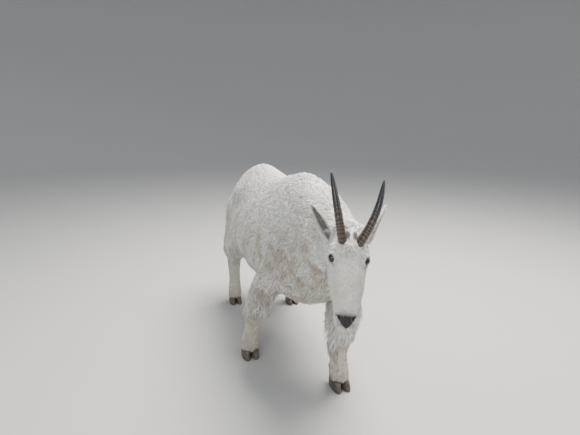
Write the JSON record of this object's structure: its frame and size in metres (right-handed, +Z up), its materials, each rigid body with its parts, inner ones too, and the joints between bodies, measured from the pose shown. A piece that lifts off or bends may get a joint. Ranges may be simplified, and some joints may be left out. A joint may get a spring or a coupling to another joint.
{
  "type": "mountain goat",
  "caption": "Standing mountain goat in a short white summer coat, life size, walking with its head lowered, with slim dark horns, narrow ears and cloven hooves.",
  "frame": {"origin": "on the ground below the middle of the whole goat's box", "axes": "the goat faces -Y, its left side is towards +X, and +Z is up"},
  "size_m": [0.4634, 1.563, 0.9374],
  "materials": {
    "coat": "short dense woolly white coat",
    "face": "short flat white hair with a black nose",
    "horn": "blackish brown ringed horn with smooth blue-black tips",
    "hoof": "dull dark hoof horn",
    "eye": "wet dark eye"
  },
  "bodies": {
    "root": {"dewclaw_foreleg_left_left": "hoof", "dewclaw_foreleg_left_right": "hoof", "dewclaw_foreleg_right_left": "hoof", "dewclaw_foreleg_right_right": "hoof", "dewclaw_hindleg_left_left": "hoof", "dewclaw_hindleg_left_right": "hoof", "dewclaw_hindleg_right_left": "hoof", "dewclaw_hindleg_right_right": "hoof", "ear_left": "coat", "ear_right": "coat", "eye_left": "eye", "eye_right": "eye", "foreleg_left_lower": "coat", "foreleg_left_upper": "coat", "foreleg_right_lower": "coat", "foreleg_right_upper": "coat", "head": "face", "hindleg_left_lower": "coat", "hindleg_left_shank": "coat", "hindleg_left_thigh": "coat", "hindleg_right_lower": "coat", "hindleg_right_shank": "coat", "hindleg_right_thigh": "coat", "hoof_foreleg_left": "hoof", "hoof_foreleg_right": "hoof", "hoof_hindleg_left": "hoof", "hoof_hindleg_right": "hoof", "horn_left": "horn", "horn_right": "horn", "neck": "coat", "tail": "coat", "torso": "coat"}
  },
  "joints": []
}
